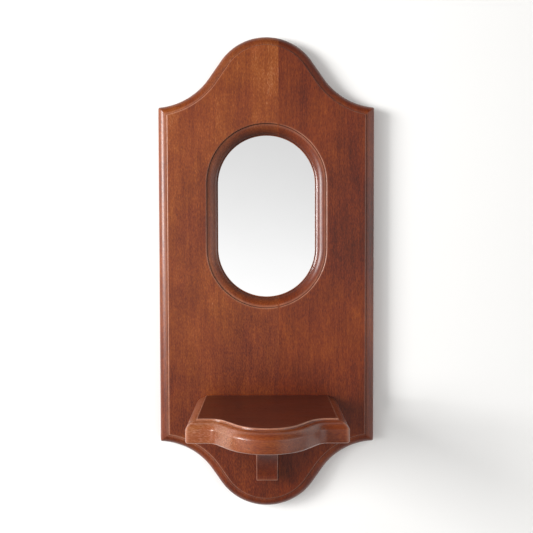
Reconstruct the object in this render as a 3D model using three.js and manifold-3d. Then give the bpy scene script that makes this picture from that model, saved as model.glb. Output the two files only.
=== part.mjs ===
// Wall-hung mirror with a small serpentine shelf.
//
// Frame, in millimetres: the wall is the plane y = 0 and the part stands out of it towards -Y.
// +Z is up and z = 0 is the top of the shelf; x = 0 is the centre line; +X is to the right of a
// person who looks into the mirror. The origin is therefore on the back of the panel, on the
// centre line, level with the shelf.
//
// How the object is made: two staves of solid wood are edge-glued into one panel, cut to an ogee
// outline at both ends and pierced by an oblong opening. One ovolo-and-step moulding is routed
// round the outline, round the opening and round the shelf. From behind, a stepped rebate takes
// the mirror glass and its backing board, and four turn buttons hold both in. The shelf and its
// bracket are screwed on through the panel. Two keyhole plates are let into the back.

import * as THREE from "three";
import { mergeVertices } from "three/addons/utils/BufferGeometryUtils.js";
import Module from "manifold-3d";

// ---------------------------------------------------------------- driving dimensions (mm)

const PANEL = { halfWidth: 125, thick: 20, glueX: 14 };
// Each end is a dome that runs into two coves: the coves reach the straight sides at a shoulder.
const TOP_END = { reach: 414.5, domeR: 63.9, coveX: 131.3, coveZ: 413.1, coveR: 79.5 };
const BOTTOM_END = { reach: 132.2, domeR: 65.2, coveX: 127.2, coveZ: 131.9, coveR: 76.3 };

// Routed edge: a small step down from the flat, then a convex quarter-round to the side.
const STEP = 2;
const QUIRK = 0.1;
const STEP_ROUND = 1.2;
const EDGE = { width: 10.2, radius: 11 };
const OPENING_EDGE = { width: 12.5, radius: 14.5 };
const SHELF_EDGE = { width: 10.4, radius: 11.2 };

const OPENING = { centreZ: 208.25, radius: 56.5, straight: 37.25 };
const REBATE = { radius: 63, depth: 8.5 }; // takes the glass and the backing board
const RING = { radius: 76, depth: 3.5 }; // shallower, where the turn buttons lie

const GLASS = { radius: 62.7, thick: 3 };
const BACKING = { radius: 62.7, thick: 2 };

const BUTTON = { x: 69, dz: 24, width: 9, nose: 15, tail: 4.5, thick: 1.5, lift: 0.25, hole: 1.8 };

const SHELF = {
  thick: 23,
  halfWidth: 72.1, // at the front, to the foot of the step
  flare: 0.7, // each side is this much nearer the centre line at the panel
  shoulder: 107.6, // from the panel's face to the foot of the step, at the ends
  crown: 146.3, // and at the centre of the front
  crownR: 40.6,
  hollowR: 20.8,
  swing: 52, // degrees that the front turns through on each side of the crown
  cornerR: 2.5,
  underRound: 1.5,
};

const BRACKET = { width: 24.5, top: 62, foot: 15, height: 72.5, arris: 1.2 };

const SHELF_SCREW = { x: 50, z: -11.5, length: 48, shank: 2, head: 4.2 };
const BRACKET_SCREW = { z: [-44, -80], length: [40, 30], shank: 2, head: 4.2 };
const DOWEL = { radius: 4, length: 19, fromFace: 30 };

const HANGER = { x: 100, z: 300, width: 16, length: 44, thick: 1.5, screwDz: 16, holeR: 4.5, slotR: 2.4, slotRise: 9 };
const HANGER_POCKET = { width: 11.5, below: 6.5, above: 13, depth: 8.5 };
const HANGER_SCREW = { length: 14, shank: 1.5, head: 3.2 };
const BUTTON_SCREW = { length: 9, shank: 1.5, head: 3.1, headTall: 1.3 };

const CLEAR = 0.3; // between a piece and the hole that it lies in
const SUNK = 0.25; // screw heads lie this far below the surface

// ---------------------------------------------------------------- solids

const wasm = await Module();
wasm.setup();

function solid(geometry) {
  const g = geometry.clone();
  g.deleteAttribute("normal");
  g.deleteAttribute("uv");
  const merged = mergeVertices(g, 1e-4);
  return new wasm.Manifold(
    new wasm.Mesh({
      numProp: 3,
      vertProperties: new Float32Array(merged.attributes.position.array),
      triVerts: new Uint32Array(merged.index.array),
    }),
  );
}

function geometryOf(made) {
  const m = made.getMesh();
  const g = new THREE.BufferGeometry();
  g.setAttribute("position", new THREE.BufferAttribute(new Float32Array(m.vertProperties), 3));
  g.setIndex(new THREE.BufferAttribute(new Uint32Array(m.triVerts), 1));
  const flat = g.toNonIndexed();
  flat.computeVertexNormals();
  return flat;
}

// A shape drawn in (x, z) and extruded away from the wall: its depth d lies at y = -d.
const FROM_WALL = new THREE.Matrix4().set(1, 0, 0, 0, 0, 0, -1, 0, 0, 1, 0, 0, 0, 0, 0, 1);

function slab(shape, near, far) {
  const g = new THREE.ExtrudeGeometry(shape, { depth: far - near, bevelEnabled: false });
  g.translate(0, 0, near);
  return g;
}

// A shape whose front edge, at depth front, is rounded outwards by a quarter circle of radius r.
function rounded(shape, front, body, r, segments) {
  const g = new THREE.ExtrudeGeometry(shape, {
    depth: body,
    bevelEnabled: true,
    bevelThickness: r,
    bevelSize: r,
    bevelSegments: segments,
  });
  g.translate(0, 0, front - body - r);
  return g;
}

// A shape with its own outline whose front arris is rounded inwards by r.
function eased(shape, front, body, r, segments) {
  const g = new THREE.ExtrudeGeometry(shape, {
    depth: body,
    bevelEnabled: true,
    bevelThickness: r,
    bevelSize: r,
    bevelOffset: -r,
    bevelSegments: segments,
  });
  g.translate(0, 0, front - body - r);
  return g;
}

function arc(cx, cy, r, from, to, n) {
  const pts = [];
  for (let i = 0; i <= n; i++) {
    const a = from + ((to - from) * i) / n;
    pts.push(new THREE.Vector2(cx + r * Math.cos(a), cy + r * Math.sin(a)));
  }
  return pts;
}

// ---------------------------------------------------------------- panel outline

// The right half of one end, from the shoulder to the crown, moved in by inset.
function halfEnd(end, inset) {
  const dome = new THREE.Vector2(0, end.reach - end.domeR);
  const cove = new THREE.Vector2(end.coveX, end.coveZ);
  const between = cove.clone().sub(dome);
  const turn =
    Math.atan2(between.y, between.x) + Math.acos((end.domeR + end.coveR) / between.length());
  const coveR = end.coveR + inset;
  const domeR = end.domeR - inset;
  const side = PANEL.halfWidth - inset;
  const start = 2 * Math.PI - Math.acos((side - cove.x) / coveR);
  return [
    ...arc(cove.x, cove.y, coveR, start, Math.PI + turn, 12),
    ...arc(dome.x, dome.y, domeR, turn, Math.PI / 2, 12),
  ];
}

function panelOutline(inset) {
  const top = halfEnd(TOP_END, inset);
  const bottom = halfEnd(BOTTOM_END, inset).map((p) => new THREE.Vector2(p.x, -p.y));
  const mirrored = (pts) =>
    pts
      .slice(0, -1)
      .reverse()
      .map((p) => new THREE.Vector2(-p.x, p.y));
  // anticlockwise: up the right side, over the top, down the left side, under the bottom
  return [...top, ...mirrored(top), ...bottom.slice(0, -1).map((p) => new THREE.Vector2(-p.x, p.y)), ...[...bottom].reverse()];
}

function oblong(r, straight, cx, cz, n = 20) {
  return [
    ...arc(cx, cz + straight, r, 0, Math.PI, n),
    ...arc(cx, cz - straight, r, Math.PI, 2 * Math.PI, n),
  ];
}

const openingPath = (r) => oblong(r, OPENING.straight, 0, OPENING.centreZ);

function withHole(outline, hole) {
  const s = new THREE.Shape(outline);
  if (hole) s.holes.push(new THREE.Path(hole));
  return s;
}

// ---------------------------------------------------------------- screws

// A countersunk wood screw along +Z, its head's face at z = 0 and its point at z = length.
function countersunk(length, shank, head, slotWide, slotDeep) {
  const profile = [
    [0, 0],
    [head, 0],
    [head, 0.4],
    [shank, head - shank + 0.4],
    [shank, length - 2.2 * shank],
    [0, length],
  ].map(([x, y]) => new THREE.Vector2(x, y));
  const g = new THREE.LatheGeometry(profile, 16);
  // the lathe turns about Y; bring its axis to Z
  g.rotateX(Math.PI / 2);
  let made = solid(g);
  if (made.volume() < 0) throw new Error("screw inside out");
  const bar = new THREE.BoxGeometry(2 * head + 2, slotWide, 2 * slotDeep);
  made = made.subtract(solid(bar));
  return made;
}

function bore(x, z, near, far, r, n = 16) {
  return solid(slab(new THREE.Shape(arc(x, z, r, 0, 2 * Math.PI, n).slice(0, -1)), near, far));
}

// The seat of a countersunk head, and the hole for its shank, for a screw set at depth near.
function screwSeat(x, z, near, length, shank, head, mouth) {
  const reach = near + length + CLEAR;
  const r = shank + CLEAR;
  const h = head + CLEAR;
  const profile = [
    [0, -1],
    [h, -1],
    [h, near + 0.4 + CLEAR * 0.5],
    [r, near + h - r + 0.4 + CLEAR * 0.5],
    [r, reach],
    [0, reach],
  ].map(([a, b]) => new THREE.Vector2(a, b));
  const g = new THREE.LatheGeometry(profile, 16);
  g.rotateX(Math.PI / 2);
  g.translate(x, z, 0);
  return solid(g);
}

// ---------------------------------------------------------------- panel

function makePanel() {
  const front = PANEL.thick;
  const foot = front - STEP;
  const blank = solid(slab(withHole(panelOutline(0), openingPath(OPENING.radius)), 0, front));
  const outer = solid(rounded(new THREE.Shape(panelOutline(EDGE.width)), foot, 20, EDGE.radius, 7));
  const sheet = [
    new THREE.Vector2(-200, -200),
    new THREE.Vector2(200, -200),
    new THREE.Vector2(200, 500),
    new THREE.Vector2(-200, 500),
  ];
  const inner = solid(
    rounded(withHole(sheet, openingPath(OPENING.radius + OPENING_EDGE.width)), foot, 20, OPENING_EDGE.radius, 7),
  );
  const field = solid(
    eased(
      withHole(
        panelOutline(EDGE.width + QUIRK),
        openingPath(OPENING.radius + OPENING_EDGE.width + QUIRK),
      ),
      front,
      5,
      STEP_ROUND,
      3,
    ),
  );
  let made = blank.intersect(outer).intersect(inner).add(field);

  made = made.subtract(solid(slab(new THREE.Shape(openingPath(REBATE.radius)), -1, REBATE.depth)));
  made = made.subtract(solid(slab(new THREE.Shape(openingPath(RING.radius)), -1, RING.depth)));

  for (const side of [-1, 1]) {
    made = made.subtract(
      screwSeat(side * SHELF_SCREW.x, SHELF_SCREW.z, SUNK, SHELF_SCREW.length, SHELF_SCREW.shank, SHELF_SCREW.head),
    );
    const x = side * HANGER.x;
    made = made.subtract(
      solid(
        slab(
          new THREE.Shape(
            oblong(HANGER.width / 2 + CLEAR, HANGER.length / 2 - HANGER.width / 2, x, HANGER.z, 8),
          ),
          -1,
          HANGER.thick,
        ),
      ),
    );
    const w = HANGER_POCKET.width / 2;
    const pocket = new THREE.Shape(
      [
        [x - w, HANGER.z - HANGER_POCKET.below],
        [x + w, HANGER.z - HANGER_POCKET.below],
        [x + w, HANGER.z + HANGER_POCKET.above],
        [x - w, HANGER.z + HANGER_POCKET.above],
      ].map(([a, b]) => new THREE.Vector2(a, b)),
    );
    made = made.subtract(solid(slab(pocket, -1, HANGER_POCKET.depth)));
    for (const dz of [-HANGER.screwDz, HANGER.screwDz]) {
      made = made.subtract(
        bore(x, HANGER.z + dz, -1, HANGER_SCREW.length + CLEAR, HANGER_SCREW.shank + CLEAR, 12),
      );
      made = made.subtract(
        bore(x, HANGER.z + dz, -1, HANGER.thick + 1.6, HANGER_SCREW.head - 0.4, 12),
      );
    }
    for (const up of [-1, 1])
      made = made.subtract(
        bore(
          side * BUTTON.x,
          OPENING.centreZ + up * BUTTON.dz,
          RING.depth - 1,
          RING.depth + BUTTON_SCREW.length,
          BUTTON_SCREW.shank + CLEAR,
          12,
        ),
      );
  }
  BRACKET_SCREW.z.forEach((z, i) => {
    made = made.subtract(
      screwSeat(0, z, SUNK, BRACKET_SCREW.length[i], BRACKET_SCREW.shank, BRACKET_SCREW.head),
    );
  });
  return made;
}

function halfSpace(fromX, toX) {
  const g = new THREE.BoxGeometry(toX - fromX, 700, 80);
  g.translate((fromX + toX) / 2, 150, 10);
  return solid(g);
}

// ---------------------------------------------------------------- shelf

// The foot of the step on top of the shelf, in (x, y), moved out by spread. Its front swings out
// from straight ends through two hollows to a crown on the centre line.
function shelfOutline(spread, cornerR) {
  const back = -PANEL.thick;
  const turn = (SHELF.swing * Math.PI) / 180;
  const crownR = SHELF.crownR + spread;
  const hollowR = SHELF.hollowR - spread;
  const crown = -(PANEL.thick + SHELF.crown + spread);
  const ends = -(PANEL.thick + SHELF.shoulder + spread);
  const side = SHELF.halfWidth + spread;
  const crownC = new THREE.Vector2(0, crown + crownR);
  // the straight between the two arcs, and so the hollow's centre, follow from the two depths
  const rise = SHELF.crown - SHELF.shoulder;
  const straight =
    (rise - (SHELF.crownR + SHELF.hollowR) * (1 - Math.cos(turn))) / Math.sin(turn);
  const hollowX = (SHELF.crownR + SHELF.hollowR) * Math.sin(turn) + straight * Math.cos(turn);
  const half = [
    ...arc(crownC.x, crownC.y, crownR, -Math.PI / 2, -Math.PI / 2 + turn, 12),
    ...arc(hollowX, ends - hollowR, hollowR, Math.PI / 2 + turn, Math.PI / 2, 9),
  ];
  if (cornerR > 0) half.push(...arc(side - cornerR, ends + cornerR, cornerR, -Math.PI / 2, 0, 4));
  else half.push(new THREE.Vector2(side, ends));
  half.push(new THREE.Vector2(side - SHELF.flare, back));
  const other = half
    .slice(1)
    .reverse()
    .map((p) => new THREE.Vector2(-p.x, p.y));
  return [...other, ...half];
}

// Faces are turned round in place, after a matrix has mirrored them.
function turnFaces(g) {
  const p = g.attributes.position.array;
  for (let i = 0; i < p.length; i += 9)
    for (let k = 0; k < 3; k++) [p[i + k], p[i + 3 + k]] = [p[i + 3 + k], p[i + k]];
  return g;
}

function makeShelf() {
  // the plain board, drawn upside down so that its eased arris is underneath
  const upside = eased(
    new THREE.Shape(shelfOutline(SHELF_EDGE.width, SHELF.cornerR)),
    SHELF.thick,
    30,
    SHELF.underRound,
    3,
  );
  upside.applyMatrix4(new THREE.Matrix4().makeScale(1, 1, -1));
  const blank = solid(turnFaces(upside));
  const ovolo = solid(
    rounded(new THREE.Shape(shelfOutline(0, 0)), -STEP, 40, SHELF_EDGE.radius, 8),
  );
  const field = solid(eased(new THREE.Shape(shelfOutline(-QUIRK, 0)), 0, 6, STEP_ROUND, 3));
  // the back is flat against the panel
  const room = new THREE.BoxGeometry(300, 300, 100);
  room.translate(0, -PANEL.thick - 150, -30);
  return blank.intersect(ovolo).add(field).intersect(solid(room));
}

// ---------------------------------------------------------------- bracket

function bracketProfile(ease) {
  // in (distance from the panel's face, z): under the shelf, in a hollow curve down to a short foot
  const top = -SHELF.thick;
  const low = top - BRACKET.height;
  const pts = [new THREE.Vector2(0, top), new THREE.Vector2(0, low)];
  pts.push(new THREE.Vector2(BRACKET.foot - ease, low));
  pts.push(new THREE.Vector2(BRACKET.foot, low + ease));
  const hollow = new THREE.CubicBezierCurve(
    new THREE.Vector2(BRACKET.foot, low + 6),
    new THREE.Vector2(BRACKET.foot + 6, low + 24),
    new THREE.Vector2(BRACKET.foot + 22, low + 46),
    new THREE.Vector2(BRACKET.top, top - 8),
  );
  pts.push(...hollow.getPoints(12));
  pts.push(new THREE.Vector2(BRACKET.top, top));
  return pts;
}

function makeBracket() {
  const w = BRACKET.width;
  const g = new THREE.ExtrudeGeometry(new THREE.Shape(bracketProfile(BRACKET.arris)), {
    depth: w,
    bevelEnabled: false,
  });
  // (u, v, w) -> x = w - width / 2, y = -thick - u, z = v
  g.applyMatrix4(
    new THREE.Matrix4().set(0, 0, 1, -w / 2, -1, 0, 0, -PANEL.thick, 0, 1, 0, 0, 0, 0, 0, 1),
  );
  // that matrix mirrors the shape, so its faces are turned back
  return solid(turnFaces(g));
}

// ---------------------------------------------------------------- small pieces

function makeButton(side) {
  // its nose points to the middle of the opening
  const r = BUTTON.width / 2;
  const s = -side;
  const outline = [];
  const a0 = side > 0 ? -Math.PI / 2 : Math.PI / 2;
  outline.push(...arc(s * -(BUTTON.tail - r), 0, r, a0, a0 + Math.PI, 10));
  const tip = BUTTON.nose - 3;
  outline.push(...arc(s * tip, 0, 3, a0 + Math.PI, a0 + 2 * Math.PI, 8));
  const shape = new THREE.Shape(outline);
  shape.holes.push(new THREE.Path(arc(0, 0, BUTTON.hole, 0, 2 * Math.PI, 14).slice(0, -1)));
  const back = RING.depth - BUTTON.lift;
  return slab(shape, back - BUTTON.thick, back);
}

function makeButtonScrew() {
  const top = RING.depth - BUTTON.lift - BUTTON.thick - 0.2;
  const head = BUTTON_SCREW;
  const profile = [
    [0, top - head.headTall],
    [head.head * 0.62, top - head.headTall],
    [head.head * 0.9, top - head.headTall * 0.66],
    [head.head, top],
    [head.shank, top],
    [head.shank, RING.depth + head.length - 3.5],
    [0, RING.depth + head.length - 0.4],
  ].map(([a, b]) => new THREE.Vector2(a, b));
  const g = new THREE.LatheGeometry(profile, 14);
  g.rotateX(Math.PI / 2);
  const bar = new THREE.BoxGeometry(2 * head.head + 2, 0.9, 1);
  bar.translate(0, 0, top - head.headTall);
  return solid(g).subtract(solid(bar));
}

function makeHangerPlate() {
  const shape = new THREE.Shape(
    oblong(HANGER.width / 2, HANGER.length / 2 - HANGER.width / 2, 0, 0, 8),
  );
  // keyhole: a round mouth with a narrow slot above it
  const half = Math.asin(HANGER.slotR / HANGER.holeR);
  shape.holes.push(
    new THREE.Path([
      ...arc(0, 0, HANGER.holeR, Math.PI / 2 + half, Math.PI * 2.5 - half, 16),
      ...arc(0, HANGER.slotRise, HANGER.slotR, 0, Math.PI, 8),
    ]),
  );
  let made = solid(slab(shape, 0, HANGER.thick));
  for (const dz of [-HANGER.screwDz, HANGER.screwDz]) {
    const h = HANGER_SCREW.head + CLEAR;
    const r = HANGER_SCREW.shank + CLEAR;
    const profile = [
      [0, -1],
      [h, -1],
      [h, 0.4],
      [r, h - r + 0.4],
      [r, 4],
      [0, 4],
    ].map(([a, b]) => new THREE.Vector2(a, b));
    const g = new THREE.LatheGeometry(profile, 16);
    g.rotateX(Math.PI / 2);
    g.translate(0, dz, 0);
    made = made.subtract(solid(g));
  }
  return made;
}

// ---------------------------------------------------------------- assembly

const wood = () => new THREE.MeshStandardMaterial({ color: 0x7a3a22, roughness: 0.45, metalness: 0 });
const woodLight = () => new THREE.MeshStandardMaterial({ color: 0x87432a, roughness: 0.45, metalness: 0 });
const steel = () => new THREE.MeshStandardMaterial({ color: 0xb9b6ae, roughness: 0.35, metalness: 1 });
const brass = () => new THREE.MeshStandardMaterial({ color: 0xb08a4a, roughness: 0.35, metalness: 1 });

const group = new THREE.Group();

function addPiece(parent, name, geometry, material, x = 0, y = 0, z = 0) {
  const mesh = new THREE.Mesh(geometry, material);
  mesh.name = name;
  mesh.position.set(x, y, z);
  parent.add(mesh);
  return mesh;
}

// everything drawn as a depth from the wall is turned into the frame here
const standing = (made) => geometryOf(made).applyMatrix4(FROM_WALL);

const panel = makePanel();
const board = new THREE.Group();
group.add(board);
addPiece(board, "panel_stave_left", standing(panel.intersect(halfSpace(-200, PANEL.glueX))), woodLight());
addPiece(board, "panel_stave_right", standing(panel.intersect(halfSpace(PANEL.glueX, 200))), wood());

const mirror = new THREE.Group();
group.add(mirror);
addPiece(
  mirror,
  "mirror_glass",
  standing(solid(slab(new THREE.Shape(openingPath(GLASS.radius)), REBATE.depth - GLASS.thick, REBATE.depth))),
  new THREE.MeshStandardMaterial({ color: 0xdfe3e6, roughness: 0.03, metalness: 1 }),
);
addPiece(
  mirror,
  "backing_board",
  standing(
    solid(
      slab(
        new THREE.Shape(openingPath(BACKING.radius)),
        REBATE.depth - GLASS.thick - BACKING.thick,
        REBATE.depth - GLASS.thick,
      ),
    ),
  ),
  new THREE.MeshStandardMaterial({ color: 0x8a6a48, roughness: 0.85, metalness: 0 }),
);
for (const side of [-1, 1])
  for (const up of [-1, 1]) {
    const name = (up > 0 ? "upper" : "lower") + "_" + (side > 0 ? "right" : "left");
    const x = side * BUTTON.x;
    const z = OPENING.centreZ + up * BUTTON.dz;
    addPiece(mirror, "turn_button_" + name, standing(solid(makeButton(side))), brass(), x, 0, z);
    addPiece(mirror, "turn_button_screw_" + name, standing(makeButtonScrew()), steel(), x, 0, z);
  }

let shelf = makeShelf();
let bracket = makeBracket();

// holes from behind, in the frame of the panel's back, turned into this one
function standingCut(cut) {
  const m = cut.getMesh();
  const g = new THREE.BufferGeometry();
  g.setAttribute("position", new THREE.BufferAttribute(new Float32Array(m.vertProperties), 3));
  g.setIndex(new THREE.BufferAttribute(new Uint32Array(m.triVerts), 1));
  g.applyMatrix4(FROM_WALL);
  return solid(g.toNonIndexed());
}
for (const side of [-1, 1])
  shelf = shelf.subtract(
    standingCut(
      bore(side * SHELF_SCREW.x, SHELF_SCREW.z, 10, SUNK + SHELF_SCREW.length + CLEAR, SHELF_SCREW.shank + CLEAR, 12),
    ),
  );
BRACKET_SCREW.z.forEach((z, i) => {
  bracket = bracket.subtract(
    standingCut(bore(0, z, 10, SUNK + BRACKET_SCREW.length[i] + CLEAR, BRACKET_SCREW.shank + CLEAR, 12)),
  );
});
const dowelHole = new THREE.CylinderGeometry(DOWEL.radius + CLEAR, DOWEL.radius + CLEAR, DOWEL.length + 1, 16);
dowelHole.rotateX(Math.PI / 2);
dowelHole.translate(0, -PANEL.thick - DOWEL.fromFace, -SHELF.thick);
shelf = shelf.subtract(solid(dowelHole));
bracket = bracket.subtract(solid(dowelHole));

const ledge = new THREE.Group();
group.add(ledge);
addPiece(ledge, "shelf_board", geometryOf(shelf), wood());
addPiece(ledge, "shelf_bracket", geometryOf(bracket), wood());
const dowel = new THREE.CylinderGeometry(DOWEL.radius, DOWEL.radius, DOWEL.length, 16);
dowel.rotateX(Math.PI / 2);
addPiece(
  ledge,
  "bracket_dowel",
  dowel,
  new THREE.MeshStandardMaterial({ color: 0xc9a36b, roughness: 0.7, metalness: 0 }),
  0,
  -PANEL.thick - DOWEL.fromFace,
  -SHELF.thick,
);

const big = countersunk(SHELF_SCREW.length, SHELF_SCREW.shank, SHELF_SCREW.head, 1, 1.1);
for (const side of [-1, 1])
  addPiece(
    ledge,
    "shelf_screw_" + (side > 0 ? "right" : "left"),
    standing(big),
    steel(),
    side * SHELF_SCREW.x,
    -SUNK,
    SHELF_SCREW.z,
  );
BRACKET_SCREW.z.forEach((z, i) =>
  addPiece(
    ledge,
    "bracket_screw_" + (i ? "lower" : "upper"),
    standing(countersunk(BRACKET_SCREW.length[i], BRACKET_SCREW.shank, BRACKET_SCREW.head, 1, 1.1)),
    steel(),
    0,
    -SUNK,
    z,
  ),
);

const hangers = new THREE.Group();
group.add(hangers);
const plate = makeHangerPlate();
const small = countersunk(HANGER_SCREW.length, HANGER_SCREW.shank, HANGER_SCREW.head, 0.7, 0.8);
for (const side of [-1, 1]) {
  const name = side > 0 ? "right" : "left";
  addPiece(hangers, "keyhole_plate_" + name, standing(plate), steel(), side * HANGER.x, 0, HANGER.z);
  for (const up of [-1, 1])
    addPiece(
      hangers,
      "keyhole_plate_screw_" + name + "_" + (up > 0 ? "upper" : "lower"),
      standing(small),
      steel(),
      side * HANGER.x,
      -0.15,
      HANGER.z + up * HANGER.screwDz,
    );
}

export default group;
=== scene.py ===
"""Looks for a wall mirror with a shelf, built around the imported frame. Metres; the wall is y = 0,
the part stands out towards -Y, +Z is up. Shapes are drawn in millimetres and scaled at the end."""

import math

import bmesh
import bpy
import numpy as np
from mathutils import Matrix, Vector, kdtree


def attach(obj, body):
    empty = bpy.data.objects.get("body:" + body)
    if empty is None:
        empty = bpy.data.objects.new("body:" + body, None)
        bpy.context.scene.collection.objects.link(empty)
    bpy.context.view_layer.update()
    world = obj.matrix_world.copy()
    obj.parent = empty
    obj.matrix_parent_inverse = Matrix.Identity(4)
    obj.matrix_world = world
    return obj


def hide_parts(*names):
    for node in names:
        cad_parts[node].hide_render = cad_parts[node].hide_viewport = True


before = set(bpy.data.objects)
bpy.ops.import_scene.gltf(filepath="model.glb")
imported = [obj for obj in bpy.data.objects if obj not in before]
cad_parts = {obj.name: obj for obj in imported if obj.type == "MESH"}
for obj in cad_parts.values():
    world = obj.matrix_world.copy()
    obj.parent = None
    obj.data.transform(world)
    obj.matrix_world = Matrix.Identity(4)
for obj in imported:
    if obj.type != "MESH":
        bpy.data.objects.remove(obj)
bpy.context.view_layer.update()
MM = 0.001

# ---------------------------------------------------------------- dimensions (mm)

HALF, THICK, GLUE = 125.0, 20.0, 14.0
TOP = dict(reach=414.5, dome=63.9, cx=131.3, cz=413.1, cove=79.5)
FOOT = dict(reach=132.2, dome=65.2, cx=127.2, cz=131.9, cove=76.3)
STEP = 2.0
OPEN_Z, OPEN_R, OPEN_S = 208.25, 56.5, 37.25
SHELF_T = 23.0


# ---------------------------------------------------------------- curves


def arc(cx, cy, r, a0, a1, n):
    a = np.linspace(a0, a1, n + 1)
    return np.c_[cx + r * np.cos(a), cy + r * np.sin(a)]


def line(a, b, n):
    t = np.linspace(0, 1, n + 1)[:, None]
    return np.array(a)[None] * (1 - t) + np.array(b)[None] * t


def half_end(end, inset, corner):
    """The right half of one end, from the side's last straight point to the crown."""
    dome_c = np.array([0.0, end["reach"] - end["dome"]])
    cove_c = np.array([end["cx"], end["cz"]])
    gap = cove_c - dome_c
    turn = math.atan2(gap[1], gap[0]) + math.acos((end["dome"] + end["cove"]) / math.hypot(*gap))
    cove_r = end["cove"] + inset
    side = HALF - inset
    c = max(corner - inset, 0.3)  # the outer corner is softened, the inner lines stay sharp
    mid = np.array([side - c, 0.0])
    mid[1] = end["cz"] - math.sqrt((cove_r + c) ** 2 - (mid[0] - end["cx"]) ** 2)
    toward = cove_c - mid
    stop = math.atan2(toward[1], toward[0])
    start = math.atan2(-toward[1], -toward[0]) + 2 * math.pi
    return np.r_[
        arc(mid[0], mid[1], c, 0, stop, 6),
        arc(cove_c[0], cove_c[1], cove_r, start, math.pi + turn, 44)[1:],
        arc(0, dome_c[1], end["dome"] - inset, turn, math.pi / 2, 48)[1:],
    ]


def panel_ring(inset, corner=2.0):
    """The whole outline in (x, z), anticlockwise from the foot of the right side."""
    top = half_end(TOP, inset, corner)
    foot = half_end(FOOT, inset, corner) * [1, -1]
    flip = lambda p: p[::-1] * [-1, 1]
    up = line(foot[0], top[0], 56)[1:-1]
    down = flip(up)
    return np.r_[up, top, flip(top)[1:], down, flip(foot[::-1])[:-1], foot[::-1][:-1], foot[:1]]


def oblong(r, n=56, straight=OPEN_S, cx=0.0, cz=OPEN_Z, m=14):
    a = arc(cx, cz + straight, r, 0, math.pi, n)
    b = arc(cx, cz - straight, r, math.pi, 2 * math.pi, n)
    return np.r_[a, line(a[-1], b[0], m)[1:-1], b, line(b[-1], a[0], m)[1:-1]]


def ovolo(width, radius, foot, soft, n=14, m=5):
    """Rows (u, d) of a routed edge, from the straight side up over the softened crease and the
    quarter round to the foot of the step."""
    cu, cd = width, foot - radius
    if width >= radius:
        raise ValueError("the round would undercut the side")
    fd = cd + math.sqrt((radius - soft) ** 2 - (cu - soft) ** 2)
    t = math.atan2(fd - cd, soft - cu)
    f = arc(soft, fd, soft, math.pi, t, m)
    q = arc(cu, cd, radius, t, math.pi / 2, n)
    return [tuple(p) for p in f], [tuple(p) for p in q[1:]]


def edge_rows(
    width, radius, foot, soft, field, arris=1.2, quirk=0.12, steps=14, crease=0.1, rub=0.3, rim=0.25, stain=0.4, lip=0.0, bead=0.0
):
    """(u, d, lightening, darkening) from the crease to the flat field. rub is the lightening on the step's arris, rim
    that on the foot of the round and crease that on the crease or bead, each rubbing plus a painted highlight; stain
    is the dark in the step and lip the dark low on the round, each stain plus painted shade. A bead of that radius can
    stand at the foot of the round instead of the crease."""
    dark = lambda u: lip * max(0.0, 1 - u / 9.0) ** 1.5
    rows = []
    if bead:
        low = 8.75
        for i, (u, d) in enumerate(arc(bead, low, bead, math.pi, math.pi / 2, 8)):
            rows.append((u, d, crease * max(0.0, math.sin(math.pi * i / 8)) ** 0.7, lip * 0.9 * (1 - i / 8) ** 2))
        rows.append((bead + 0.2, low + bead, 0.0, lip))
        start = max(bead + 0.32, width - 0.97 * radius)
        t = math.pi - math.acos((width - start) / radius)
        q = [tuple(p) for p in arc(width, foot - radius, radius, t, math.pi / 2, steps)]
    else:
        f, q = ovolo(width, radius, foot, soft, n=steps)
        for i, (u, d) in enumerate(f):
            t = i / (len(f) - 1)
            rows.append((u, d, crease * max(0.0, math.sin(math.pi * t)) ** 0.7, dark(u)))
    far = width - 2.6
    for u, d in q:
        if u > far:
            break
        rows.append((u, d, 0.0, dark(u)))
    for u in np.linspace(far + 0.35, width - 0.2, 7):
        d = foot - radius + math.sqrt(radius**2 - (width - u) ** 2)
        t = (u - far) / 2.4
        rows.append((u, d, rim * max(0.0, math.sin(math.pi * t)) ** 0.6, stain * max(0.0, (t - 0.86) / 0.14)))
    rows.append((width + quirk * 0.5, foot - 0.03, 0.0, stain))
    rows.append((width + quirk, foot + 0.12, 0.0, stain))
    top = field - arris
    rows.append((width + quirk + 0.02, (foot + top) / 2, 0.0, stain * 0.9))
    a = arc(width + quirk + arris, top, arris, math.pi, math.pi / 2, 7)
    for i, (u, d) in enumerate(a):
        t = i / 7
        rows.append((u, d, rub * max(0.0, math.sin(math.pi * min(1.0, 0.1 + t * 0.9))) ** 0.8, stain * max(0.0, 0.8 - 1.6 * t)))
    end = width + quirk + arris
    for extra, wear_and_highlight in ((0.35, 0.2), (0.9, 0.0), (2.2, 0.0)):
        rows.append((end + extra, field, wear_and_highlight * rub, 0.0))
    return rows


# ---------------------------------------------------------------- meshes


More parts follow.
